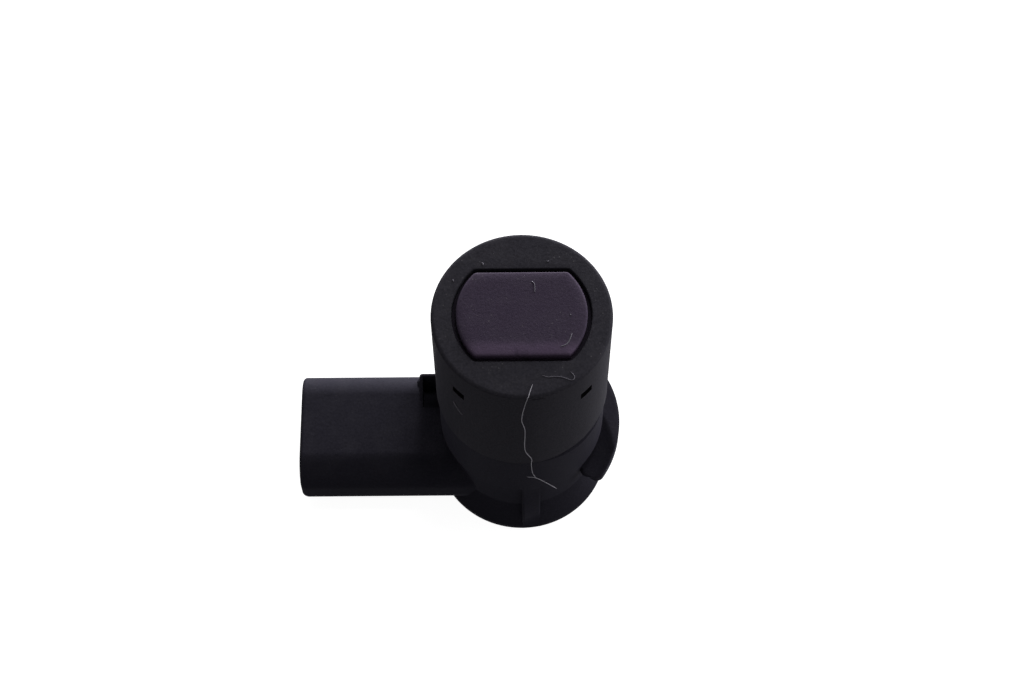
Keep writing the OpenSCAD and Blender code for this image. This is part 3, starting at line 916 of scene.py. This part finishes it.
@dataclass
class Housing:
    """Moulding with foot, neck, collar, tube, plug socket, retention wing, stop lug, rib and snap hooks."""

    base_r: float = 12.05
    base_t: float = 1.0
    foot_top: float = 6.0
    collar_dip: float = 0.9
    seat_r: float = 10.2
    seat_z: float = 1.6
    tube_r: float = 10.05
    tube_top: float = 39.6
    cup_seat: tuple[float, float] = (8.7, 37.4)
    bore: tuple[float, float] = (7.8, 21.6)
    board_seat: tuple[float, float] = (8.6, 14.7)
    chamber_r: float = 9.4
    neck_r: float = 10.6
    collar_r: float = 11.25
    collar_low: float = 12.8
    collar_top: float = 22.5
    socket_z: float = 5.4
    socket_half: tuple[float, float] = (8.4, 5.0)
    socket_corner: float = 4.0
    socket_wall: float = 1.5
    mouth: float = 31.0
    socket_floor: float = 14.5
    fillet: float = 0.5
    lug_pocket: float = 13.85
    lug_y: float = 4.25
    lug_floor: float = 3.4
    lug_pocket_half: float = 1.95
    lug_x: float = 11.9
    lug_half: tuple[float, float] = (2.4, 2.35)
    lug_z: tuple[float, float] = (10.3, 12.4)
    rib_width: float = 2.7
    rib_root: float = 10.2
    wing_r: float = 13.7
    wing_span: tuple[float, float] = (-39.0, 36.0)
    wing_back: float = 8.0
    wing_fall: float = 1.5
    wing_bulge: float = 3.2
    wing_slant: float = 27.0
    wing_round: float = 0.4
    wing_z: tuple[float, float] = (8.35, 11.1)

    def build(self, material: bpy.types.Material) -> bpy.types.Object:
        """Makes the moulding from its own closed shapes, each carried along its path.

        Args:
            material: its finish.

        Returns:
            The housing.
        """
        patch = Patchwork("housing_moulding")
        self._body(patch)
        self._socket(patch)
        self._wing(patch)
        self._lug(patch)
        self._rib(patch)
        self._hooks(patch)
        piece = patch.finish(material, "housing_plastic")
        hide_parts("housing")
        return piece

    def _body(self, patch: Patchwork) -> None:
        """Revolved wall: outside from the base to the tube, inside back down to the seat of the cover.

        The collar's upper edge dips where the gap under the sleeve is wide.

        Args:
            patch: the moulding's grids.
        """
        cup_r, cup_z = self.cup_seat
        bore_r, bore_z = self.bore
        board_r, board_z = self.board_seat
        outline = filleted([
            (self.seat_r, 0, 0.15), (self.base_r, 0, 0.2), (self.base_r, self.base_t, 0.7),
            (self.neck_r, self.foot_top, 0.9), (self.neck_r, self.collar_low, 0.25),
            (self.collar_r, self.collar_low, 0.25), (self.collar_r, self.collar_top, 0.2),
            (self.tube_r, self.collar_top, 0.1), (self.tube_r, self.tube_top, 0.2), (cup_r, self.tube_top, 0.1),
            (cup_r, cup_z, 0.1), (bore_r, cup_z, 0.1), (bore_r, bore_z, 0.2), (board_r, bore_z, 0.2),
            (board_r, board_z, 0.1), (self.chamber_r, board_z, 0.1), (self.chamber_r, self.seat_z, 0.1),
            (self.seat_r, self.seat_z, 0.1)])
        a = np.radians(np.arange(0, 360, 1.5))
        edge = (outline[:, 0] > self.collar_r - 0.35) & (outline[:, 1] > self.collar_top - 2.5)
        z = outline[:, 1:] - self.collar_dip * edge[:, None] * gap_share(a)
        patch.add(revolve(outline[:, 0], z, a), wrap_rows=True)

    def foot(self, height: Array) -> Array:
        """Radius of the wall below the collar: a cone that eases from the base rim in to the neck."""
        return np.interp(height, [self.base_t, self.foot_top], [self.base_r, self.neck_r])

    def _socket(self, patch: Patchwork) -> None:
        """Plug socket: a rounded section carried from the neck to the mouth, round its lip and back in.

        Beside the body the section swells along a quarter circle, which makes the moulded fillet. Its top
        sinks inside the stop lug, for the lug's pocket.

        Args:
            patch: the moulding's grids.
        """
        section, normal = rounded_rectangle(*self.socket_half, self.socket_corner, 34, 40)
        start = np.sqrt(np.maximum(self.foot(section[:, 1] + self.socket_z) ** 2 - section[:, 0] ** 2, 4.0))
        f, w, inner = self.fillet, self.socket_wall, 0.3
        lip = 0.55 + 0.55 * smooth(0.2, -0.8, normal[:, 1])
        near = f * (1 - np.cos(np.linspace(0.0, math.pi / 2, 9)))
        swell = f - np.sqrt(np.maximum(f ** 2 - (f - near) ** 2, 0.0))
        quarter = np.linspace(0.0, math.pi / 2, 7)
        plain = np.array([11.6, 12.2, 12.8, 13.4, self.lug_pocket - 0.03, self.lug_pocket,
                          14.6, 18.0, 22.0, 26.0])
        turn = quarter[:, None]
        back = np.concatenate([self.mouth - inner * (1 - np.cos(quarter)), [24.0, 18.0, self.socket_floor]])
        root = np.concatenate([[-1.2], near])[:, None] + start
        x = np.maximum.accumulate(np.concatenate([root, np.repeat(plain[:, None], len(section), 1),
                                                  self.mouth - lip * (1 - np.sin(turn))]))
        x = np.concatenate([x, np.repeat(back[:, None], len(section), 1)])
        ones = np.ones(len(section))
        outside = np.concatenate([[f], swell, np.zeros(len(plain))])[:, None] * ones
        offset = np.concatenate([outside, -lip * (1 - np.cos(turn)), (-w + inner * (1 - np.sin(turn))) * ones,
                                 [-w * ones] * 3])
        offset = np.where(offset > 0, offset * (1 - normal[:, 0] ** 2), offset)
        y, z = np.moveaxis(section + offset[..., None] * normal, -1, 0)
        z = np.maximum(z + self.socket_z, 0.02)
        beside = np.abs(y - self.lug_y) < self.lug_pocket_half
        pocket = (x < self.lug_pocket - 0.01) & beside & (normal[:, 1] > 0.2)
        grid = np.stack([-x, y, np.where(pocket, np.minimum(z, self.lug_floor), z)], -1)
        floor = np.broadcast_to(np.array([-self.socket_floor, 0.0, self.socket_z]), grid[:1].shape)
        patch.add(np.concatenate([grid, floor]))

    def _wing(self, patch: Patchwork) -> None:
        """Retention wing: a flat band bent round the axis, whose top slopes down to its free end.

        The slope starts along a slanting line, farther back beside the neck than at the rim, and falls to the
        free end, which leaves a hollow that widens towards the front. The outer corners are rounded.

        Args:
            patch: the moulding's grids.
        """
        low, top = self.wing_z
        first, last = self.wing_span
        root = self.neck_r - 0.4
        deg = np.unique(np.concatenate([np.linspace(first, first + 5, 13), np.linspace(first, last, 46),
                                        np.linspace(last - 5, last, 13)]))[:, None]
        across = np.linspace(self.wing_r - 0.2, root, 12)
        slant = np.interp(across, [self.neck_r + 0.2, self.wing_r - 0.3],
                          [self.wing_back, self.wing_back - self.wing_slant])
        fall = self.wing_fall * np.clip((slant - deg) / (slant - first), 0.0, 1.0) ** 0.9
        away = np.minimum(deg - first, last - deg) * math.radians(self.wing_r)
        soft = np.clip(1.0 - away / self.wing_round, 0.0, 1.0)
        roof = top - fall - self.wing_round * (1.0 - np.sqrt(1.0 - soft ** 2))
        under = np.broadcast_to([low, low, low + 0.1], (len(deg), 3))
        z = np.concatenate([roof, under, roof[:, :1] - np.array([0.2, 0.06])], 1)
        r = np.concatenate([across, [root, self.wing_r - 0.1, self.wing_r, self.wing_r, self.wing_r - 0.06]])
        bite = 1.0 - np.sqrt(1.0 - np.clip(1.0 - away, 0.0, 1.0) ** 2)
        place = np.clip((r - root) / (self.wing_r - root), 0.0, 1.0)
        r = r - bite * place
        a = np.radians(deg - self.wing_bulge * np.sin(np.pi * place) * smooth(first + 12.0, first, deg))
        patch.add_swept(np.stack([r * np.cos(a), r * np.sin(a), z], -1))

    def _lug(self, patch: Patchwork) -> None:
        """Stop lug: a rounded section carried up, over its lip and down into its pocket.

        Its foot swells into a fillet, and its wall eases down to the socket's top at its front.

        Args:
            patch: the moulding's grids.
        """
        f = 0.4
        section, normal = rounded_rectangle(*self.lug_half, f, 6)
        foot, top = self.lug_z
        near = np.linspace(0.0, f, 8)
        swell = f - np.sqrt(np.maximum(f ** 2 - (f - near) ** 2, 0.0))
        quarter = np.linspace(0.0, math.pi / 2, 5)
        lip, wall = 0.14, 0.45
        z = [7.5] + (foot + near).tolist() + (top - lip * (1 - np.sin(quarter))).tolist()
        z += (top - lip * (1 - np.cos(quarter))).tolist() + [self.lug_floor - 0.1]
        offset = [f] + swell.tolist() + (-lip * (1 - np.cos(quarter))).tolist()
        offset += (-wall + lip * (1 - np.sin(quarter))).tolist() + [-wall]
        xy = section + np.array(offset)[:, None, None] * normal + np.array([-self.lug_x, self.lug_y])
        front = smooth(self.lug_y - 0.9, self.lug_y - 2.2, xy[..., 1])
        height = np.array(z)[:, None] - front * np.maximum(np.array(z)[:, None] - foot + 0.9, 0.0)
        patch.add_swept(np.concatenate([xy, height[..., None]], -1))

    def _rib(self, patch: Patchwork) -> None:
        """Rib in front of the neck: a section bent round the axis, carried from the base to the collar.

        Its face turns right. The outer points stand clear of the foot and draw in towards the collar.

        Args:
            patch: the moulding's grids.
        """
        width, root = self.rib_width, self.rib_root
        outline = filleted([(0, root, 0), (0, self.base_r + 0.1, 0.3), (width, self.collar_r + 0.2, 0.3),
                            (width, root, 0)])
        a = -math.pi / 2 + outline[:, 0] / self.base_r
        z = np.linspace(0.3, self.collar_low + 0.4, 20)[:, None]
        drawn = outline[:, 1] - (outline[:, 1] - self.collar_r + 0.1) * smooth(4.0, self.collar_low, z)
        r = np.where(outline[:, 1] > root + 0.1, np.maximum(drawn, self.foot(z) + 0.06), outline[:, 1])
        patch.add_swept(np.stack([r * np.cos(a), r * np.sin(a), np.broadcast_to(z, r.shape)], -1))

    @staticmethod
    def _hooks(patch: Patchwork) -> None:
        """Four snap hooks: a wedge-shaped outline carried across each window's width.

        Args:
            patch: the moulding's grids.
        """
        wedge = filleted([(9.6, 38.05, 0), (10.2, 38.05, 0.08), (10.2, 38.45, 0.08), (9.6, 39.15, 0)],
                         steps=4)
        side = np.array([-0.9, 0.9])
        for a in np.radians(WINDOW_DEG):
            x = wedge[:, 0] * math.cos(a) - side[:, None] * math.sin(a)
            y = wedge[:, 0] * math.sin(a) + side[:, None] * math.cos(a)
            patch.add_swept(np.stack([x, y, np.broadcast_to(wedge[:, 1], x.shape)], -1))


@dataclass
class RearCover:
    """Plain cover let into the rear face."""

    radius: float = 10.05
    spigot: float = 9.25
    thickness: float = 1.2
    height: float = 3.2

    def build(self, material: bpy.types.Material) -> bpy.types.Object:
        """Makes the cover as a profile carried round the axis, from one pole to the other.

        Args:
            material: its finish.

        Returns:
            The cover.
        """
        inside = self.spigot - 1.05
        outline = filleted([(0, 0, 0), (self.radius, 0, 0.2), (self.radius, self.thickness, 0.1),
                            (self.spigot, self.thickness, 0.05), (self.spigot, self.height, 0.2),
                            (inside, self.height, 0.2), (inside, self.thickness, 0.2), (0, self.thickness, 0)],
                           closed=False)
        patch = Patchwork("rear_lid")
        patch.add(revolve(outline[:, 0], outline[:, 1], np.radians(np.arange(0, 360, 2.0))))
        piece = patch.finish(material, "housing_plastic")
        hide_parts("rear_cover")
        return piece


@dataclass(frozen=True)
class Fibre:
    """One fibre of lint: its pixels in the photograph, its thickness and whether it is faint."""

    name: str
    pixels: tuple[tuple[float, float], ...]
    thick_mm: float = 0.14
    faint: bool = False
    on_membrane: bool = False


FIBRES = (
    Fibre("lint_long", ((532, 384), (528, 395.5), (523.7, 407), (521.2, 419.7), (524.4, 430), (524.4, 449),
                        (530.8, 458), (530.8, 464), (532, 472), (535.2, 477)), 0.11),
    Fibre("lint_short", ((526.3, 476.3), (535.2, 477.1), (544.8, 481.6), (556.3, 488)), 0.11),
    Fibre("lint_rim", ((541.7, 375), (548, 376.5), (555.5, 376), (563, 377), (571.6, 379.6), (574, 376),
                       (570, 371)), 0.1, True),
    Fibre("lint_side", ((453, 400), (457, 407), (462, 414)), 0.2, True),
    Fibre("lint_membrane", ((571.6, 332.5), (569, 340), (565.5, 344), (560, 346)), 0.12, True, True),
    Fibre("lint_top", ((531, 280.5), (534, 284), (534.2, 292)), 0.11, True, True),
    Fibre("speck_left", ((481.2, 262.4), (482.6, 263.6), (482.2, 264.8)), 0.2, True),
    Fibre("speck_right", ((546.2, 261.2), (548.4, 260.6)), 0.16, True),
    Fibre("speck_side", ((452.4, 279.2), (453.2, 281.4)), 0.16, True),
    Fibre("speck_membrane", ((569.6, 314.0), (570.4, 314.9)), 0.2, True, True),
)


@dataclass
class Lint:
    """Lint that lies on the head, each fibre put where a ray through its pixels meets the surface."""

    camera: PhotoCamera
    radius: float = 11.5
    face: float = 44.5
    membrane: float = 44.95
    collar: tuple[float, float] = (11.25, 23.0)

    def on_surface(self, pixels: Array, on_membrane: bool) -> Array:
        """Places pixels on the face, or on the side wall where the ray passes the face by.

        Args:
            pixels: columns and rows in the photograph.
            on_membrane: whether the face meant is the membrane.

        Returns:
            One point per pixel, in millimetres.
        """
        eye, ray = self.camera.eye(), self.camera.rays(pixels)
        level = self.membrane if on_membrane else self.face
        flat = eye + ray * ((level - eye[2]) / ray[:, 2])[:, None]
        wall = self._wall(eye, ray, self.radius)
        wall = np.where((wall[:, 2] < self.collar[1])[:, None], self._wall(eye, ray, self.collar[0]), wall)
        wall[:, 2] = np.minimum(wall[:, 2], self.face)
        return np.where((np.hypot(flat[:, 0], flat[:, 1]) < self.radius - 0.3)[:, None], flat, wall)

    @staticmethod
    def _wall(eye: Array, ray: Array, radius: float) -> Array:
        """First points where rays meet an upright cylinder.

        The distance t along a ray is the smaller root of |eye + t ray| = radius in plan.

        Args:
            eye: the camera's place.
            ray: directions, one row each.
            radius: the cylinder's radius.

        Returns:
            One point per ray.
        """
        a = (ray[:, :2] ** 2).sum(1)
        b = (ray[:, :2] * eye[:2]).sum(1)
        c = (eye[:2] ** 2).sum() - radius ** 2
        t = (-b - np.sqrt(np.maximum(b * b - a * c, 0.0))) / a
        return eye + ray * t[:, None]

    def build(self, bright: bpy.types.Material, faint: bpy.types.Material) -> list[bpy.types.Object]:
        """Makes each fibre as a round section carried along its smoothed path.

        Args:
            bright: finish of the clear fibres.
            faint: finish of the faint ones.

        Returns:
            The fibres.
        """
        return [self._fibre(f, faint if f.faint else bright) for f in FIBRES]

    def _fibre(self, fibre: Fibre, material: bpy.types.Material) -> bpy.types.Object:
        """Makes one fibre, with thin ends, along a cubic curve through its pixels.

        Args:
            fibre: its pixels and thickness.
            material: its finish.

        Returns:
            The fibre.
        """
        px = np.array(fibre.pixels, float)
        knots = np.arange(len(px))
        fine = np.linspace(0, len(px) - 1, 10 * (len(px) - 1) + 1)
        tangent = np.gradient(px, axis=0)
        i = np.minimum(fine.astype(int), len(px) - 2)
        t = (fine - knots[i])[:, None]
        curve = ((2 * t ** 3 - 3 * t ** 2 + 1) * px[i] + (t ** 3 - 2 * t ** 2 + t) * tangent[i]
                 + (3 * t ** 2 - 2 * t ** 3) * px[i + 1] + (t ** 3 - t ** 2) * tangent[i + 1])
        path = self.on_surface(curve, fibre.on_membrane)
        ahead = np.gradient(path, axis=0)
        ahead /= np.linalg.norm(ahead, axis=1)[:, None]
        up = np.where((path[:, 2] > self.face - 0.2)[:, None], np.array([0.0, 0.0, 1.0]),
                      path * np.array([1.0, 1.0, 0.0]) / self.radius)
        side = np.cross(ahead, up)
        side /= np.linalg.norm(side, axis=1)[:, None]
        up = np.cross(side, ahead)
        r = 0.5 * fibre.thick_mm * np.minimum(1.0, 0.35 + 3.0 * np.minimum(fine, fine[::-1]))[:, None, None]
        a = np.linspace(0, 2 * math.pi, 8, endpoint=False)[None, :, None]
        ring = path[:, None] + r * (np.cos(a) * side[:, None] + (np.sin(a) + 0.5) * up[:, None])
        patch = Patchwork(fibre.name)
        patch.add_swept(ring)
        return patch.finish(material, "sleeve_plastic", sharp_deg=80.0)


@dataclass
class InnerParts:
    """The construction's own solids that stay as they are and only get their finish."""

    groups: GroupMaker

    def dress(self) -> None:
        """Gives each remaining node the finish of its material slot."""
        made = {"silicone": SILICONE.make(self.groups), "silicone_grey": GREY_SILICONE.make(self.groups)}
        made |= {slot: finish.make(self.groups) for slot, finish in INNER_FINISHES.items()}
        slots = {part["node"]: part["material_slot"] for part in frame["record"]["subparts"]}
        for name, node in frame["nodes"].items():
            material = made.get(slots[name])
            if material is None:
                continue
            node.data.materials.clear()
            node.data.materials.append(material)
            LOG.info("%s: dressed as %s", name, slots[name])


def main() -> None:
    """Builds the camera, the stage and the sensor's pieces in order."""
    logging.basicConfig(level=logging.INFO, format="%(name)s %(message)s")
    bpy.context.scene.view_settings.view_transform = "Standard"
    camera = PhotoCamera()
    camera.place()
    Studio().build()
    groups = GroupMaker()
    plastic = HOUSING.make(groups)
    HeadSleeve().build(SLEEVE.make(groups), WINDOW_PAINTED_SHADE.make(groups))
    MembraneCup().build(LACQUER.make(groups))
    Housing().build(plastic)
    RearCover().build(plastic)
    Lint(camera).build(LINT.make(groups), FAINT_LINT.make(groups))
    InnerParts(groups).dress()


if __name__ == "__main__":
    main()
